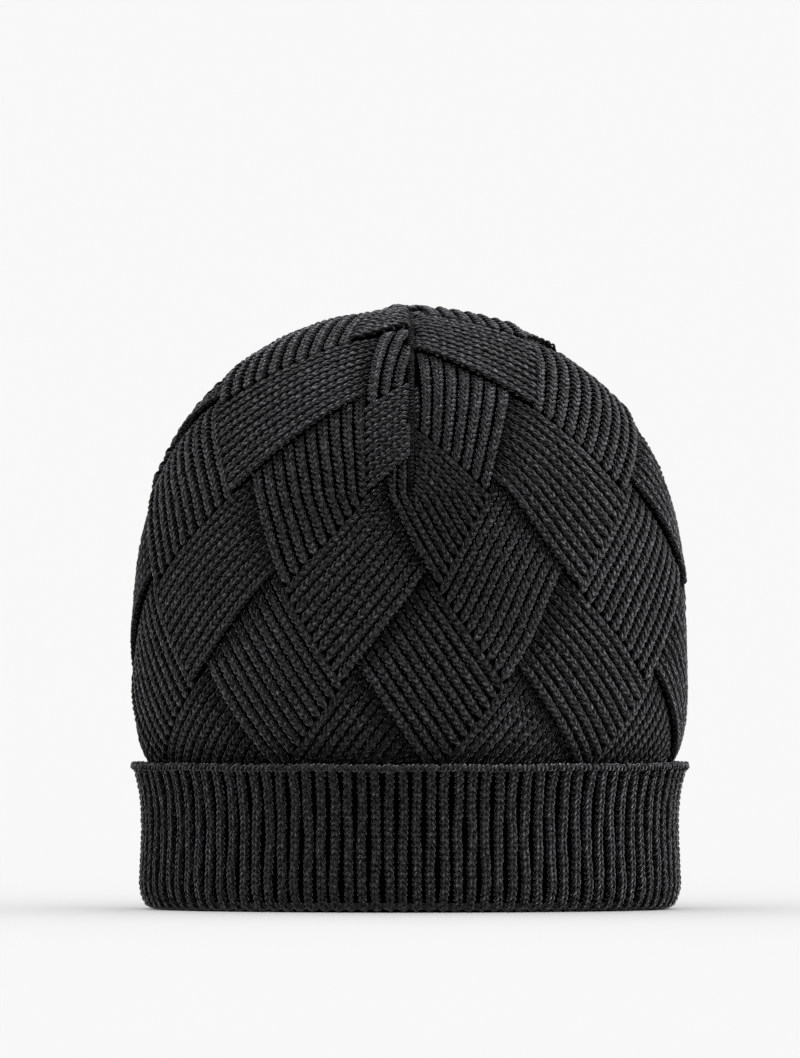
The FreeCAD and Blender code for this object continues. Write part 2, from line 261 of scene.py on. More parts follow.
def grid_mesh(grids, air=None):
    """Points, faces and maps of surfaces, each a grid of points and two flags: closed across, closed up.

    air holds how much painted light each surface keeps, and without it all keep as much as the crest of a
    stitch does.
    """
    air = [CREST_AIR] * len(grids) if air is None else air
    points, loops, lie, bake, first = [], [], [], [], 0
    for number, (grid, closed_across, closed_up) in enumerate(grids):
        rows, columns = grid.shape[:2]
        row, column = np.meshgrid(
            np.arange(rows if closed_up else rows - 1),
            np.arange(columns if closed_across else columns - 1),
            indexing="ij",
        )
        row = row.ravel()[:, None] + np.array([0, 0, 1, 1])
        column = column.ravel()[:, None] + np.array([0, 1, 1, 0])
        loops.append((first + (row % rows) * columns + column % columns).ravel())
        points.append(grid.reshape(-1, 3))
        spread = np.linalg.norm(np.diff(grid, axis=1), axis=-1).mean() * MM
        rise = np.linalg.norm(np.diff(grid, axis=0), axis=-1).mean() * MM
        lie.append(np.stack([column.ravel() * spread, row.ravel() * rise / (YARN_ROUND * MM)], -1))
        low = number / len(grids) + SHEET_EDGE
        share = 1 / len(grids) - 2 * SHEET_EDGE
        bake_u = SHEET_EDGE + (1 - 2 * SHEET_EDGE) * column.ravel() / columns
        bake.append(np.stack([bake_u, low + share * row.ravel() / rows], -1))
        first += rows * columns
    loops = np.concatenate(loops)
    maps = {"yarn": np.concatenate(lie), "OFBake": np.concatenate(bake)}
    painted_light = np.repeat(air, [len(part) for part in points])
    return np.concatenate(points), loops, np.full(len(loops) // 4, 4), maps, painted_light


# ------------------------------------------------------------------------------------------ colours
def linear(colour):
    """A six-digit sRGB hex colour as linear red, green, blue and alpha."""
    parts = [int(colour[place:place + 2], 16) / 255 for place in (1, 3, 5)]
    return [p / 12.92 if p <= 0.04045 else ((p + 0.055) / 1.055) ** 2.4 for p in parts] + [1.0]


def add(tree, kind, settings=None, inputs=None):
    """Adds a shader node with its settings, and its inputs as values or as links."""
    node = tree.nodes.new("ShaderNode" + kind)
    for key, value in (settings or {}).items():
        setattr(node, key, value)
    for key, value in (inputs or {}).items():
        if isinstance(value, bpy.types.NodeSocket):
            tree.links.new(value, node.inputs[key])
        else:
            node.inputs[key].default_value = value
    return node


def blend_stops(node, stops):
    """Sets a colour ramp's stops from (place, hex colour) pairs."""
    ramp = node.color_ramp
    while len(ramp.elements) < len(stops):
        ramp.elements.new(0.5)
    for element, (place, colour) in zip(ramp.elements, stops):
        element.position = place
        element.color = linear(colour)
    return node


PLY_PITCH = 2.6  # mm from one ply to the next along the yarn
FIBRE, FIBRE_LONG = 0.3, 1.5  # mm, a tuft of fibres across and along the yarn; one fibre is too fine to show
HEATHER_PATCH = 1.6  # mm over which the fleece's shade drifts
PATCH_SHARE, TUFT_SHARE = 0.3, 0.7  # of the shade: from the drift, and from the tufts
PLY_GROOVE = 0.62  # painted shade: how much of the light the colour keeps in the groove between two plies
GAP_LIGHT = 0.02  # painted shade: how much of it the colour keeps in the gaps between stitches


def spun_yarn(name, deep, body, pale, fleck, ply_depth, sheen, gloss=0.06):
    """Two-ply spun yarn: a heathered fleece in twisted plies, dull, with a soft bloom at grazing angles."""
    material = bpy.data.materials.new(name)
    material.use_nodes = True
    tree = material.node_tree
    tree.nodes.clear()
    where = add(tree, "TexCoord").outputs["Object"]
    lie = add(tree, "UVMap", {"uv_map": "yarn"}).outputs["UV"]
    apart = add(tree, "SeparateXYZ", None, {"Vector": lie})
    along = add(tree, "Math", {"operation": "MULTIPLY"}, {0: apart.outputs["X"], 1: 1 / (PLY_PITCH * MM)})
    phase = add(tree, "Math", {"operation": "MULTIPLY_ADD"}, {
        0: apart.outputs["Y"], 1: 2.0, 2: along.outputs[0],
    })
    swing = add(tree, "Math", {"operation": "MULTIPLY"}, {0: phase.outputs[0], 1: 2 * math.pi})
    ply = add(tree, "Math", {"operation": "SINE"}, {0: swing.outputs[0]})
    ply_height = add(tree, "MapRange", None, {"Value": ply.outputs[0], "From Min": -1.0, "From Max": 1.0})
    comb = (1 / (FIBRE_LONG * MM), YARN_ROUND / FIBRE, 1.0)
    combed = add(tree, "VectorMath", {"operation": "MULTIPLY"}, {0: lie, 1: comb}).outputs[0]
    tuft = add(tree, "TexNoise", None, {"Vector": combed, "Scale": 1.0, "Detail": 2.0, "Roughness": 0.6})
    patch = add(tree, "TexNoise", None, {"Vector": where, "Scale": 1 / (HEATHER_PATCH * MM), "Detail": 2.0})
    drift = add(tree, "Math", {"operation": "MULTIPLY"}, {0: patch.outputs["Fac"], 1: PATCH_SHARE})
    shade = add(tree, "Math", {"operation": "MULTIPLY_ADD"}, {
        0: tuft.outputs["Fac"], 1: TUFT_SHARE, 2: drift.outputs[0],
    })
    heather = add(tree, "ValToRGB", None, {"Fac": shade.outputs[0]})
    blend_stops(heather, [(0.36, deep), (0.47, body), (0.56, pale), (0.65, fleck)])
    # Painted shade in the groove between two plies.
    groove = add(tree, "MapRange", None, {
        "Value": ply_height.outputs[0], "From Max": 0.35, "To Min": PLY_GROOVE,
    })
    painted_light = add(tree, "Attribute", {"attribute_name": "painted_light"})
    free = add(tree, "MapRange", {"interpolation_type": "SMOOTHSTEP"}, {
        "Value": painted_light.outputs["Fac"], "To Min": GAP_LIGHT,
    })
    # Painted shade: the heather is darkened in the ply grooves and between the yarns, by the painted light of
    # each point.
    light = add(tree, "Math", {"operation": "MULTIPLY"}, {0: groove.outputs[0], 1: free.outputs[0]})
    painted_shade = add(tree, "Mix", {"data_type": "RGBA", "blend_type": "MULTIPLY"}, {"Factor": 1.0})
    tree.links.new(heather.outputs["Color"], painted_shade.inputs["A"])
    tree.links.new(light.outputs[0], painted_shade.inputs["B"])
    height = add(tree, "Math", {"operation": "MULTIPLY_ADD"}, {
        0: tuft.outputs["Fac"], 1: 0.5, 2: ply_height.outputs[0],
    })
    bump = add(tree, "Bump", None, {"Strength": 1.0, "Distance": ply_depth * MM, "Height": height.outputs[0]})
    shader = add(tree, "BsdfPrincipled", None, {
        "Base Color": painted_shade.outputs["Result"], "Roughness": 0.9, "Specular IOR Level": gloss,
        "Sheen Weight": sheen, "Sheen Roughness": 0.35, "Sheen Tint": linear("#b4b4b8"),
        "Normal": bump.outputs[0],
    })
    add(tree, "OutputMaterial", None, {"Surface": shader.outputs[0]})
    return material


# Charcoal heather, spun from wool and acrylic: dark grey legs with paler fibres, painted near black in the
# gaps as the shade there.
weave_yarn = spun_yarn("charcoal_weave_yarn", "#1d1d1e", "#373738", "#4f4f51", "#8e8e90", 0.25, 0.55)
# The same yarn drawn tighter in the rib, so that its plies lie flatter and its bloom shows more.
rib_yarn = spun_yarn("charcoal_rib_yarn", "#202021", "#3d3d3e", "#565658", "#98989a", 0.2, 0.75)
# The linking yarn of the seams and the drawn-in top, a finer thread of the same fleece.
seam_yarn = spun_yarn("charcoal_linking_yarn", "#1c1c1d", "#353536", "#4b4b4d", "#7c7c7e", 0.2, 0.35)
# The purl side: the same yarn where nothing brushes it up. It is matt charcoal inside the hat, with no bloom
# and some painted shade, and painted near black behind the stitches, as the shade that falls there.
purl_yarn = spun_yarn("charcoal_purl_side", "#1f1f20", "#373738", "#4a4a4c", "#7a7a7c", 0.3, 0.0, 0.0)


# ------------------------------------------------------------------------------------------ stitches
def no_curl(turn, run):
    """For cloth that lies on its wall all over."""
    return 0.0


def legs(wall, to_turn, x, run, lean, rise, knit, light=None, slim=1.0, curl=no_curl):
    """Both legs of each stitch as centre lines.

    x and run are the stitches' middles on the cloth, lean the way that each column grows, in radians from
    straight up towards +X, and rise lifts a stitch out of the wall or sinks it. light is below 1 where
    something beside the stitch keeps the light off, as shade painted into the yarn's colour, and slim where
    the columns are drawn together. curl gives how far the yarn itself bends out of the wall at a turn and a
    run.
    """
    count = len(x)
    light = np.ones(count) if light is None else light
    lines = []
    for hand in (-1, 1):
        angle = lean + math.radians(hand * knit["spread"] + knit["skew"]) + chance.normal(0, 0.035, count)
        length = knit["course"] * knit["reach"] * (1 + chance.normal(0, 0.03, count))
        step_x, step_run = np.sin(angle) * length, np.cos(angle) * length
        side = hand * knit["pitch"] * knit["stance"] + chance.normal(0, 0.06, count)
        middle_x = x + np.cos(lean) * side
        middle_run = run - np.sin(lean) * side + chance.normal(0, 0.05, count)
        share = STEPS - 0.5
        at_x = middle_x[:, None] + step_x[:, None] * share
        at_run = middle_run[:, None] + step_run[:, None] * share
        lift = rise[:, None] + np.array(knit["dip"]) + chance.normal(0, 0.05, count)[:, None]
        turn = to_turn(at_x, at_run)
        points, outs = wall.place(turn, at_run, lift + curl(turn, at_run))
        radii = knit["yarn"] * np.array(knit["plump"]) * (slim * (1 + chance.normal(0, 0.04, count)))[:, None]
        depth = np.array(knit["dip"]) - (1 - light)[:, None]
        lines.append((points, outs, radii, depth))
    return tuple(np.stack(parts, 1).reshape((-1,) + parts[0].shape[1:]) for parts in zip(*lines))


def choose(lines, keep):
    """The centre lines of the stitches that keep marks; each stitch has two legs."""
    both = np.repeat(keep, 2)
    return tuple(part[both] for part in lines)


# ------------------------------------------------------------------------------------------ basket weave
REPEATS = 9  # blocks round the crown, leaning each way
CLOTH_ROUND = crown.girth(crown.run_at(WIDEST_LEVEL))
BLOCK_LEAN = math.radians(36)
BLOCK_LONG = CLOTH_ROUND / REPEATS / (2 * math.sin(BLOCK_LEAN))
ROW_RISE = 66.5  # from one row of blocks to the next that leans the same way
BLOCK_WIDE = ROW_RISE / (2 * math.cos(BLOCK_LEAN))
FIRST_CORNER = (-18.7, crown.run_at(85.8))  # the upper left corner of the block in the middle of the front
CLOTH_SKEW = 0.05  # how far the cloth leans to the right as it rises
WALES, COURSES = 10, 20  # stitches across and along a block
EDGE_RISE, END_SINK = 1.5, 2.1  # mm, at a block's raised edge and at its tucked end
EDGE_SOFT, END_SOFT = 6.0, 6.5  # mm over which they die away
BLOCK_BELLY = 0.4  # mm, how far the middle of a block stands out

weave_knit = {
    "pitch": BLOCK_WIDE * math.sin(2 * BLOCK_LEAN) / WALES, "course": BLOCK_LONG / COURSES,
    "yarn": 0.6, "reach": 1.65, "spread": 22.5, "skew": -4.0, "stance": 0.155,
    "dip": [-1.0, -0.75, -0.58, -0.62, -0.95, -1.6], "plump": [0.5, 0.85, 1.08, 1.1, 0.95, 0.6],
}
DART_RUN = crown.run_at(DART_BASE)
DART_DRAW = 3.5  # mm, the most that the darts draw the cloth towards them
SIDE_HOLD = 0.045  # as a turn: how far a gore's still line lies from its middle, towards the side of the hat
FRONT_DRAW, DRAW_RUN = 0.018, crown.run_at(117.0)  # as a turn, and where it sets in, below the darts' feet
DRAW_LAG, DRAW_SOFT = 15.0, 8.0  # mm, how much later it sets in on the left, and the run it takes
DART_CURL, CURL_SOFT = 2.6, 1.3  # mm, how far a gore's edge turns in, and how near the dart
DART_SET = 7.0  # mm of run above its foot over which a dart takes hold
DART_HEM = 0.4  # mm kept clear on each side of a dart
ROLL_RISE, GROOVE_SINK = 1.2, 1.9  # mm, where a gore rolls over its dart on one side and dips on the other
ROLL_SOFT, GROOVE_SOFT = 3.0, 2.6  # mm over which they die away
TOP_RUN = crown.run[-1]


def block_rise(across, down):
    """How far the cloth of a block stands out, from distances in from its raised edge and its tucked end."""
    rise = EDGE_RISE * np.exp(-across / EDGE_SOFT) - END_SINK * np.exp(-down / END_SOFT)
    return rise + BLOCK_BELLY * np.sin(math.pi * np.clip(across / BLOCK_WIDE, 0, 1)) - BLOCK_BELLY


def from_blocks(right_down, right_up):
    """Cloth x and run of a point given by its distances along the two ways that the blocks lean."""
    x = (right_down + right_up) * math.sin(BLOCK_LEAN)
    run = (right_up - right_down) * math.cos(BLOCK_LEAN)
    return FIRST_CORNER[0] + x + CLOTH_SKEW * run, FIRST_CORNER[1] + run


def block_stitches():
    """Every stitch of the weave on the flat cloth: x, run, lean and rise."""
    across, down = np.meshgrid(np.arange(WALES) + 0.5, np.arange(COURSES) + 0.5)
    across, down = across.ravel() * BLOCK_WIDE / WALES, down.ravel() * BLOCK_LONG / COURSES
    rise = block_rise(across, down)
    found = []
    for row in range(-2, 5):
        for place in range(REPEATS):
            right_down = place * BLOCK_LONG - row * BLOCK_WIDE
            right_up = place * BLOCK_LONG + row * BLOCK_WIDE
            blocks = [
                (right_down + down, right_up + across, -1),
                (right_down + BLOCK_LONG + BLOCK_WIDE - across, right_up + BLOCK_LONG - down, 1),
            ]
            for first, second, hand in blocks:
                x, run = from_blocks(first, second)
                lean = math.atan(hand * math.tan(BLOCK_LEAN) + CLOTH_SKEW)
                found.append(np.stack([x, run, np.full_like(x, lean), rise]))
    return np.concatenate(found, 1)


def cloth_rise(x, run):
    """The weave's relief anywhere on the flat cloth."""
    run = run - FIRST_CORNER[1]
    x = x - FIRST_CORNER[0] - CLOTH_SKEW * run
    along, up = x / (2 * math.sin(BLOCK_LEAN)), run / (2 * math.cos(BLOCK_LEAN))
    rise = np.zeros_like(x)
    for more in (-1, 0, 1, 2):
        for over in (-1, 0, 1, 2):
            place, row = np.floor(along / BLOCK_LONG) - more, np.floor(up / BLOCK_WIDE) - over
            first = along - up - place * BLOCK_LONG + row * BLOCK_WIDE
            second = along + up - place * BLOCK_LONG - row * BLOCK_WIDE
            inside = (first >= 0) & (first < BLOCK_LONG) & (second >= 0) & (second < BLOCK_WIDE)
            rise = np.where(inside, block_rise(second, first), rise)
            first, second = BLOCK_LONG + BLOCK_WIDE - first, BLOCK_LONG - second
            inside = (first >= 0) & (first < BLOCK_WIDE) & (second >= 0) & (second < BLOCK_LONG)
            rise = np.where(inside, block_rise(first, second), rise)
    return rise


def dart_share(run):
    """How much of the cloth's width is left above the foot of the darts."""
    return np.where(run > DART_RUN, crown.girth(run) / crown.girth(DART_RUN), 1.0)


weave_x, weave_run, weave_lean, weave_rise = block_stitches()
weave_x = weave_x % CLOTH_ROUND
gore = np.floor(weave_x / CLOTH_ROUND * 4).astype(int)
gore_middle = (gore + 0.5) / 4


def held(gore):
    """The turn of the line of a gore that goes straight up."""
    return (gore + 0.5) / 4 + SIDE_HOLD * (1 - 2 * (gore % 2))


def narrow(turn, run):
    """How far, as a turn, the cloth is drawn to the middle of the front and of the back."""
    swing = np.sin(4 * math.pi * turn)
    return FRONT_DRAW * swing / (1 + np.exp((DRAW_RUN - DRAW_LAG * swing - run) / DRAW_SOFT))


def draw_in(off, run):
    """How much further, as a turn, the darts draw the cloth towards them than they need to close a cone.

    off is the turn from the gore's middle, an eighth of a turn at its edges.
    """
    up = np.clip((run - DART_RUN) / (TOP_RUN - DART_RUN), 0, 1)
    bell = 27 / 4 * up * (1 - up) ** 2  # 1 at its highest, a third of the way up
    draw = DART_DRAW * bell / crown.girth(run)
    return draw * np.sign(off) * np.sin(math.pi / 2 * np.clip(np.abs(off) * 8, 0, 1)) ** 2


def weave_turn(x, run):
    """The turn of a point of the crown's cloth.

    Each gore keeps one line straight and loses its edges to the darts.
    """
    number = gore[:, None] if x.ndim > 1 else gore
    turn = x / CLOTH_ROUND
    turn = held(number) + (turn - narrow(turn, run) - held(number)) / dart_share(run)
    turn = turn + draw_in(turn - (number + 0.5) / 4, run)
    # No yarn crosses a dart. Below the darts' feet the hem is a whole turn outwards, so nothing is held back.
    hem = np.where(run > DART_RUN, DART_HEM / crown.girth(run), -1.0)
    return np.clip(turn, number / 4 + hem, (number + 1) / 4 - hem)


def curl_under(turn, run):
    """The edge of each gore turns in where it meets a dart."""
    to_dart = np.abs(turn * 4 - np.round(turn * 4)) / 4 * crown.girth(run)
    return -DART_CURL * np.clip((run - DART_RUN) / DART_SET, 0, 1) * np.exp(-to_dart / CURL_SOFT)


TUCK_RUN, TUCK_SOFT, TUCK_SINK = 3.0, 3.5, 1.2  # mm, where the crown draws in to the rib, behind the cuff
TUCK_SHADE, HOLLOW_SHADE = 0.9, 0.22  # painted shade: light taken off the colour there, and per mm that the cloth lies in a hollow
HOLLOW_START = 0.4  # mm, the depth at which painted shade begins in a hollow
SLIMMEST, FULLEST = 0.75, 1.05  # how thin and full a yarn gets where its columns are drawn together or apart
FIRST_RUN = 0.3  # mm, the lowest stitch of the crown
ROLL_CLEAR, GROOVE_CLEAR = 0.5, 1.7  # mm left free for the dart's chain on its two sides
GATHER_RADIUS = 5.5  # mm, where the weave ends and the gathered top begins

girth_here = crown.girth(weave_run)
tuck = np.exp(-np.clip(weave_run - TUCK_RUN, 0, None) / TUCK_SOFT)
stitch_turn = weave_turn(weave_x, weave_run)
left_of_dart = (0.125 + gore_middle - stitch_turn) * girth_here  # mm to the dart at the gore's right edge
right_of_dart = (0.125 + stitch_turn - gore_middle) * girth_here  # mm from the dart at its left edge
above_foot = np.clip((weave_run - DART_RUN) / DART_SET, 0, 1)
roll = above_foot * ROLL_RISE * np.exp(-np.clip(left_of_dart, 0, None) / ROLL_SOFT)
groove = above_foot * GROOVE_SINK * np.exp(-np.clip(right_of_dart, 0, None) / GROOVE_SOFT)
weave_rise = np.minimum(weave_rise + roll, EDGE_RISE) - groove
# Painted shade: the colour darkens behind the cuff and in the weave's hollows.
weave_light = 1 - TUCK_SHADE * tuck - HOLLOW_SHADE * np.clip(-weave_rise - HOLLOW_START, 0, None)
drawn = (weave_turn(weave_x + 1, weave_run) - weave_turn(weave_x - 1, weave_run)) * girth_here / 2
weave_legs = legs(
    crown, weave_turn, weave_x, weave_run, weave_lean, weave_rise - TUCK_SINK * tuck, weave_knit,
    weave_light, np.clip(drawn, SLIMMEST, FULLEST), curl_under,
)
on_body = (weave_run > FIRST_RUN) & (weave_run <= DART_RUN)
beside_darts = (left_of_dart > ROLL_CLEAR) & (right_of_dart > GROOVE_CLEAR)
on_gore = (weave_run > DART_RUN) & beside_darts & (girth_here > 2 * math.pi * GATHER_RADIUS)

QUARTERS = ["front_right", "back_right", "back_left", "front_left"]
for number, quarter in enumerate(QUARTERS):
    here = gore == number
    build(f"weave_{quarter}", *yarn_mesh(choose(weave_legs, here & on_body)),
          weave_yarn, "crown", "crown_knit", ["crown_body"])
    build(f"gore_weave_{quarter}", *yarn_mesh(choose(weave_legs, here & on_gore)),
          weave_yarn, "crown", "crown_knit", [f"gore_{quarter}"])


# ------------------------------------------------------------------------------------------ seams
SUNK_SHADE = 0.5  # painted shade: light taken off a seam's colour for each mm that it lies below the cloth


def seam_column(name, wall, turn, low, high, knit, rise, shift, body, nodes):
    """A single column of stitches up the wall at one turn, shifted to one side of it."""
    run = np.arange(low, high, knit["course"])

    def to_turn(x, at_run):
        return turn + x / wall.girth(at_run)

    level = np.zeros_like(run)
    light = level + 1 + SUNK_SHADE * min(rise, 0.0)
    lines = legs(wall, to_turn, level + shift, run, level, level + rise, knit, light)
    return build(name, *yarn_mesh(lines), seam_yarn, body, "seam_yarn", nodes)


seam_knit = {
    "pitch": 3.1, "course": 2.3, "yarn": 0.86, "reach": 1.5, "spread": 20.0, "skew": 0.0, "stance": 0.25,
    "dip": [-0.95, -0.75, -0.62, -0.7, -1.1, -1.8], "plump": [0.55, 0.88, 1.08, 1.08, 0.92, 0.6],
}
dart_knit = dict(seam_knit, pitch=1.9, course=1.45, yarn=0.5, spread=32.0)
DARTS = {"front": 0.0, "right": 0.25, "back": 0.5, "left": 0.75}
DART_LOW, DART_HIGH = DART_RUN - 1.0, crown.run_at(DOME_TOP - 0.35)
DART_SINK, DART_SHIFT = -1.6, 0.3  # mm, how the chain of a dart lies in its groove
for side, turn in DARTS.items():
    seam_column(f"dart_{side}", crown, turn, DART_LOW, DART_HIGH, dart_knit,
                DART_SINK, DART_SHIFT, "crown", [f"dart_seam_{side}"])
seam_column("back_seam_stitches", crown, 0.5, 1.0, DART_RUN, seam_knit, 0.35, 0.0, "crown", ["back_seam"])

GATHERS = 20  # lengths of yarn drawn in to the middle of the top
GATHER_START = 8.0  # mm, the half width of the ring where they begin
GATHER_PLACES = np.array([0.0, 0.25, 0.5, 0.75, 0.97])  # along each, as a share of the way in
GATHER_LIFT = np.array([-1.6, -0.8, -0.6, -0.8, -1.4])
GATHER_RADII = np.array([0.9, 1.0, 0.85, 0.6, 0.35])
gather_turn = np.arange(GATHERS) / GATHERS
gather_in = crown.run[np.searchsorted(-crown.rings[0], -GATHER_START)]
gather_steps = gather_in + (TOP_RUN - gather_in) * GATHER_PLACES
gather_points, gather_outs = crown.place(
    gather_turn[:, None] + 0 * gather_steps, gather_steps + 0 * gather_turn[:, None],
    GATHER_LIFT + chance.normal(0, 0.15, (GATHERS, 1)),
)
gather_radii = GATHER_RADII * (1 + chance.normal(0, 0.05, (GATHERS, 1)))
gather_depths = GATHER_LIFT + 0 * gather_radii
build("gather_stitches", *yarn_mesh((gather_points, gather_outs, gather_radii, gather_depths)),
      seam_yarn, "crown", "seam_yarn", ["crown_gather"])


# ------------------------------------------------------------------------------------------ ribs
RIBS = 104  # columns round the hat
START_FULL, START_SOFT = 0.3, 1.6  # how much fuller the first stitches at the rim are, and over how many mm
rib_knit = {
    "pitch": 3.3, "course": 1.95, "yarn": 0.58, "reach": 1.5, "spread": 25.0, "skew": 0.0, "stance": 0.222,
    "dip": [-0.95, -0.75, -0.62, -0.72, -1.1, -1.8], "plump": [0.5, 0.85, 1.08, 1.1, 0.92, 0.6],
}


def rib_stitches(wall, low, high, down):
    """The columns of a rib from one run to another, grown upwards or, on a turned-up cuff, downwards."""
    count = int((high - low) / rib_knit["course"])
    column, course = np.meshgrid(np.arange(RIBS), np.arange(count), indexing="ij")
    column, run = column.ravel(), low + (course.ravel() + 0.5) * (high - low) / count
    width = wall.girth(wall.run[len(wall.run) // 2])
    # No column runs quite straight: each sways slowly and quickly, out of step with the next.
    sway = 0.22 * np.sin(run / 7.3 + column * 2.4) + 0.14 * np.sin(run / 3.1 + column * 4.1)
    x = (column + 0.5) / RIBS * width + sway
    level = np.zeros_like(run)

    def to_turn(at_x, at_run):
        return at_x / width

    lean = level + (math.pi if down else 0.0)
    points, outs, radii, depths = legs(wall, to_turn, x, run, lean, level, rib_knit)
    if down:
        to_rim = high - np.repeat(run, 2)
        radii = radii * (1 + START_FULL * np.exp(-to_rim / START_SOFT))[:, None]
    return (points, outs, radii, depths), x / width, run


CUFF_LOW = cuff.run_at(0.001) - 2.0  # a little way in under the hat
RIB_FOOT = cuff.run_at(0.7)  # the lowest stitches that show, just above the floor
cuff_legs, cuff_turn, cuff_run = rib_stitches(cuff, RIB_FOOT, cuff.run_at(CUFF_TOP + RIM_COVER), True)
cuff_front = (cuff_turn < 0.25) | (cuff_turn > 0.75)
cuff_folded = cuff_run < cuff.run_at(FOLD_TOP)
build("cuff_rib_front", *yarn_mesh(choose(cuff_legs, cuff_front & ~cuff_folded)),
      rib_yarn, "cuff", "rib_knit", ["cuff_outer_layer"])
build("cuff_rib_back", *yarn_mesh(choose(cuff_legs, ~cuff_front & ~cuff_folded)),
      rib_yarn, "cuff", "rib_knit", ["cuff_outer_layer"])
build("cuff_fold_rib", *yarn_mesh(choose(cuff_legs, cuff_folded)),
      rib_yarn, "cuff", "rib_knit", ["cuff_fold"])

rib_legs, rib_turn, _ = rib_stitches(rib, 0.0, rib.run[-1] + 0.5, False)
rib_front = (rib_turn < 0.25) | (rib_turn > 0.75)
build("inner_rib_front", *yarn_mesh(choose(rib_legs, rib_front)),
      rib_yarn, None, "rib_knit", ["rib_inner_layer"])
build("inner_rib_back", *yarn_mesh(choose(rib_legs, ~rib_front)),
      rib_yarn, None, "rib_knit", ["rib_inner_layer"])

seam_column("cuff_seam_stitches", cuff, 0.5, cuff.run_at(1.0), cuff.run_at(CUFF_TOP), seam_knit,
            0.3, 0.0, "cuff", ["cuff_back_seam"])
seam_column("rib_seam_stitches", rib, 0.5, 1.0, rib.run[-1], seam_knit, 0.2, 0.0, None, ["rib_back_seam"])


# ------------------------------------------------------------------------------------------ rim and fold
RIM_CORE, RIM_BEND = 0.8, 1.0  # mm: half the thickness of the cast-on edge under its loops, and their bend
RIM_IN, RIM_DOWN = 1.3, 1.9  # mm from the cuff's outer face and from the top of the rim to its middle
RIM_LOOPS = RIBS * 3
LOOP_SWING = np.radians([-62.0, -15.0, 40.0, 95.0, 150.0, 205.0])  # from the outer face, over the top
LOOP_SLANT = np.array([-0.5, -0.3, -0.1, 0.1, 0.3, 0.5]) * 1.1 / RIM_LOOPS
LOOP_RADII = np.array([0.4, 0.58, 0.66, 0.66, 0.58, 0.4])
LOOP_DEPTH = np.array([-1.0, -0.78, -0.7, -0.7, -0.78, -1.0])
UPWARDS = np.array([0.0, 0.0, 1.0])


def rim_line(turn):
    """Points along the middle of the cast-on edge, and the level outward directions there."""
    half_width = cuff.rings[0][-1] - RIM_IN
    half_depth = half_width - SIDE_EXCESS
    angle = np.interp(turn % 1.0, ring_turn, ring_angle)
    out = np.stack([np.sin(angle) * half_depth, -np.cos(angle) * half_width, 0 * angle], -1)
    out /= np.linalg.norm(out, axis=-1, keepdims=True)
    sway = 0.16 * np.sin(turn * 2 * math.pi * 11) + 0.1 * np.sin(turn * 2 * math.pi * 29 + 1.0)
    level = RIM_TOP - RIM_DOWN + sway
    return np.stack([np.sin(angle) * half_width, -np.cos(angle) * half_depth, level], -1), out


def rim():
    """The core of the cast-on edge, which shows between its loops."""
    turn = np.arange(RIBS * 8) / (RIBS * 8)
    swing = (np.arange(12) / 12 * 2 * math.pi)[:, None, None]
    middle, out = rim_line(turn)
    return middle + RIM_CORE * (np.cos(swing) * out + np.sin(swing) * UPWARDS)


def rim_loops():
    """The loops of the cast-on edge, each over the top from the outer face of the cuff to the inner one."""
    turn = (np.arange(RIM_LOOPS) + 0.5 + chance.normal(0, 0.12, RIM_LOOPS)) / RIM_LOOPS
    middle, out = rim_line(turn[:, None] + LOOP_SLANT)
    outs = np.cos(LOOP_SWING)[:, None] * out + np.sin(LOOP_SWING)[:, None] * UPWARDS
    bend = RIM_BEND * (1 + chance.normal(0, 0.06, (RIM_LOOPS, 1, 1)))
    radii = LOOP_RADII * (1 + chance.normal(0, 0.05, (RIM_LOOPS, 1)))
    return middle + bend * outs, outs, radii, LOOP_DEPTH + 0 * radii


build("cuff_rim", *grid_mesh([(rim(), True, True)]), rib_yarn, "cuff", "rib_knit", ["cuff_edge"])
build("cuff_rim_loops", *yarn_mesh(rim_loops()), rib_yarn, "cuff", "rib_knit", ["cuff_edge"])


def fold_turn():
    """The very bottom of the fold, where the stretched stitches close the grooves of the rib."""
    across = RIBS * 8
    up = np.linspace(CUFF_LOW, cuff.run_at(2.2), 12)
    run, turn = np.meshgrid(up, np.arange(across) / across, indexing="ij")
    column = 0.5 - 0.5 * np.cos(turn * 2 * math.pi * RIBS)
    sink = np.clip((run - cuff.run_at(0.3)) / 1.2, 0, None)
    return cuff.place(turn, run, -1.2 + 0.85 * column - 0.5 * sink * (1 - column))[0]


build("fold_turn", *grid_mesh([(fold_turn(), True, False)]), rib_yarn, "cuff", "rib_knit", ["cuff_fold"])


# ------------------------------------------------------------------------------------------ purl side
PURL_AIR = 0.7  # how much painted light the purl side keeps, inside the hat
PURL_BUMP, PURL_COURSE = 0.25, 4.9  # mm, the height of its bumps and the run of one course of them
NEAR_LIFT = -2.5  # mm, the face just behind the stitches
CROWN_FAR, RIB_FAR, CUFF_FAR = -4.8, -3.5, -3.6  # mm, the face inside the hat


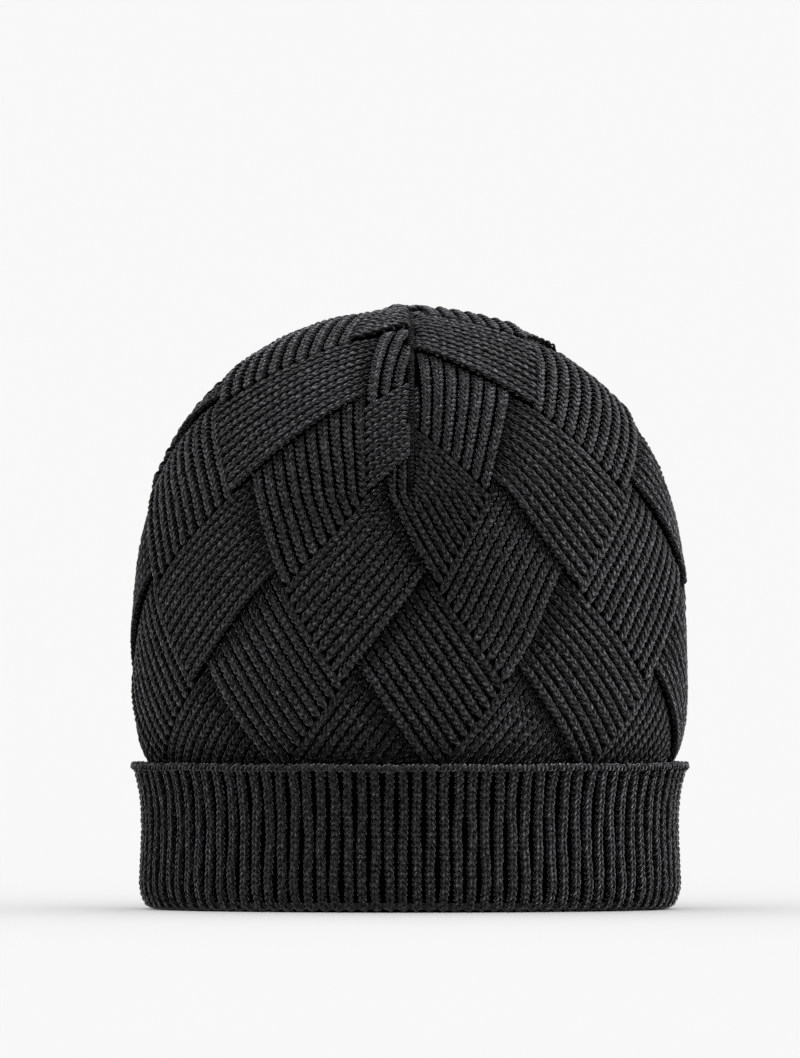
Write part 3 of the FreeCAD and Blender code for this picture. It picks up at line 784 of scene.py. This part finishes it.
def lining(name, wall, low, high, far_lift, columns, rows, body, nodes):
    """The cloth behind the stitches: a dark face close under them and the purl side inside the hat."""
    run, turn = np.meshgrid(np.linspace(low, high, rows), np.arange(columns) / columns, indexing="ij")
    rise = np.zeros_like(run)
    if wall is crown:
        number = np.floor(turn * 4)
        flat = turn - draw_in(turn - (number + 0.5) / 4, run)
        flat = held(number) + (flat - held(number)) * dart_share(run)
        rise = cloth_rise(CLOTH_ROUND * (flat + narrow(flat, run)), run)
    # The near face keeps no painted light: painted shade makes it near black, as the shade between the
    # stitches.
    near = wall.place(turn, run, NEAR_LIFT + np.minimum(rise, 0.6))[0]
    purl = PURL_BUMP * np.sin(run * 2 * math.pi / PURL_COURSE) * np.sin(turn * 2 * math.pi * columns / 5)
    far = wall.place(turn, run, far_lift + purl)[0][:, ::-1]
    seam = np.stack([near[-1], far[-1][::-1]])
    foot = np.stack([far[0][::-1], near[0]])
    faces = [(near, True, False), (far, True, False), (seam, True, False), (foot, True, False)]
    return build(name, *grid_mesh(faces, [0.0, PURL_AIR, 0.0, 0.0]), purl_yarn, body, "crown_knit", nodes)


LINING_TOP = crown.run_at(DOME_TOP - 0.02)
CUFF_LINING_TOP = cuff.run_at(CUFF_TOP + 1.0)
lining("weave_purl_side", crown, 0.0, DART_RUN, CROWN_FAR, 420, 90, "crown", ["crown_body"])
lining("gore_purl_side", crown, DART_RUN, LINING_TOP, CROWN_FAR, 420, 90, "crown",
       ["gore_front_left", "gore_front_right", "gore_back_left", "gore_back_right"])
lining("rib_purl_side", rib, 0.0, rib.run[-1], RIB_FAR, 312, 60, None, ["rib_inner_layer"])
lining("cuff_purl_side", cuff, CUFF_LOW, CUFF_LINING_TOP, CUFF_FAR, 312, 40, "cuff", ["cuff_outer_layer"])


# ------------------------------------------------------------------------------------------ care label
def satin(name, shade, gloss):
    """Woven polyester satin: fine floats that catch the light across the ribbon."""
    material = bpy.data.materials.new(name)
    material.use_nodes = True
    tree = material.node_tree
    tree.nodes.clear()
    where = add(tree, "TexCoord").outputs["Object"]
    weave = add(tree, "TexNoise", None, {"Vector": where, "Scale": 1 / (0.4 * MM), "Detail": 2.0})
    tone = add(tree, "ValToRGB", None, {"Fac": weave.outputs["Fac"]})
    blend_stops(tone, [(0.3, shade), (0.7, gloss)])
    bump = add(tree, "Bump", None, {"Strength": 0.4, "Distance": 0.05 * MM, "Height": weave.outputs["Fac"]})
    shader = add(tree, "BsdfPrincipled", None, {
        "Base Color": tone.outputs["Color"], "Roughness": 0.38, "Sheen Weight": 0.2,
        "Normal": bump.outputs[0],
    })
    add(tree, "OutputMaterial", None, {"Surface": shader.outputs[0]})
    return material


# Satin ribbon, woven from polyester and bleached: a soft white with a slight gloss.
label_satin = satin("label_satin_white", "#d9d8d4", "#ecebe7")
# The polyester thread that sews the label down: black, with a slight gloss.
label_thread = satin("label_sewing_thread", "#101011", "#1e1e20")

LABEL_EDGE, LABEL_IN = 0.1, 0.3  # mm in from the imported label, at its edges and at its faces
LABEL_HALF = 0.2  # mm, half its thickness
LABEL_WAVE = 0.12  # mm, how far its free side ripples
label_low, label_high = box_mm("care_label")
label_x = np.linspace(label_low[0] + LABEL_EDGE, label_high[0] - LABEL_EDGE, 25)
label_z = np.linspace(label_low[2] + LABEL_EDGE, label_high[2] - LABEL_EDGE, 43)
label_grid_z, label_grid_x = np.meshgrid(label_z, label_x, indexing="ij")
reach = (label_grid_x - label_x[0]) / (label_x[-1] - label_x[0])
label_slope = label_low[1] - label_high[1] + 2 * LABEL_IN
label_y = label_high[1] - LABEL_IN + (label_slope + LABEL_WAVE * np.sin(label_grid_z / 6)) * reach
label_front = np.stack([label_grid_x, label_y - LABEL_HALF, label_grid_z], -1)
label_back = np.stack([label_grid_x, label_y + LABEL_HALF, label_grid_z], -1)
label_rim = np.concatenate([
    label_front[0], label_front[1:, -1], label_front[-1, -2::-1], label_front[-2:0:-1, 0],
])
label_rim_back = label_rim + (0.0, 2 * LABEL_HALF, 0.0)
label = build("care_label_satin", *grid_mesh([
    (label_front, False, False), (label_back[:, ::-1], False, False),
    (np.stack([label_rim_back, label_rim]), True, False),
]), label_satin, "label", "label_satin", ["care_label"])
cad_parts["label_stitches"].data.materials.clear()
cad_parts["label_stitches"].data.materials.append(label_thread)


# ------------------------------------------------------------------------------------------ studio
BOARD = 60.0  # metres from the hat to each side of the board, so that its end is never seen


def floor():
    """A wide board, painted matt white."""
    mesh = bpy.data.meshes.new("studio_floor")
    corners = [(-BOARD, -BOARD, 0), (BOARD, -BOARD, 0), (BOARD, BOARD, 0), (-BOARD, BOARD, 0)]
    mesh.from_pydata(corners, [], [(0, 1, 2, 3)])
    board = bpy.data.objects.new("studio_floor", mesh)
    material = bpy.data.materials.new("matt_white_board")
    material.use_nodes = True
    tree = material.node_tree
    tree.nodes.clear()
    shader = add(tree, "BsdfDiffuse", None, {"Color": (1.0, 1.0, 1.0, 1.0)})
    add(tree, "OutputMaterial", None, {"Surface": shader.outputs[0]})
    mesh.materials.append(material)
    bpy.context.scene.collection.objects.link(board)
    return board


# The two soft lamps pass the board by. The room alone lights it, so it keeps the tone of the studio right up
# to the soft shadow where the hat stands.
unlit = bpy.data.collections.new("lit_by_the_room_alone")
unlit.objects.link(floor())
unlit.collection_objects[0].light_linking.link_state = "EXCLUDE"
ROOM = 0.94  # brightness of the white studio all round
world = bpy.data.worlds.new("white_studio")
bpy.context.scene.world = world
world.use_nodes = True
world.node_tree.nodes["Background"].inputs["Color"].default_value = (1.0, 1.0, 1.0, 1.0)
world.node_tree.nodes["Background"].inputs["Strength"].default_value = ROOM

LAMP_SPREAD = math.radians(45)  # as wide as large softboxes
LAMPS = [  # name, strength, and the way that it shines
    ("soft_key", 6.4, (-0.78, 0.08, -0.62)),
    ("soft_rim", 2.1, (0.8, -0.05, -0.55)),
]
for name, energy, direction in LAMPS:
    light_data = bpy.data.lights.new(name, "SUN")
    light_data.energy = energy
    light_data.angle = LAMP_SPREAD
    light = bpy.data.objects.new(name, light_data)
    light.rotation_euler = Vector(direction).to_track_quat("-Z", "Y").to_euler()
    light.light_linking.receiver_collection = unlit
    bpy.context.scene.collection.objects.link(light)

CAMERA_DISTANCE, CAMERA_SIDE, CAMERA_LEVEL = 6.0, -0.0035, 0.133
VIEW_HEIGHT = 0.3703  # metres of the subject from the top to the bottom of the view
camera_data = bpy.data.cameras.new("camera")
camera_data.lens = camera_data.sensor_width * CAMERA_DISTANCE / VIEW_HEIGHT
camera_data.clip_end = 200
camera = bpy.data.objects.new("camera", camera_data)
camera.location = (CAMERA_SIDE, -CAMERA_DISTANCE, CAMERA_LEVEL)
camera.rotation_euler = (math.pi / 2, 0, 0)
bpy.context.scene.collection.objects.link(camera)
bpy.context.scene.camera = camera
bpy.context.scene.view_settings.view_transform = "Standard"
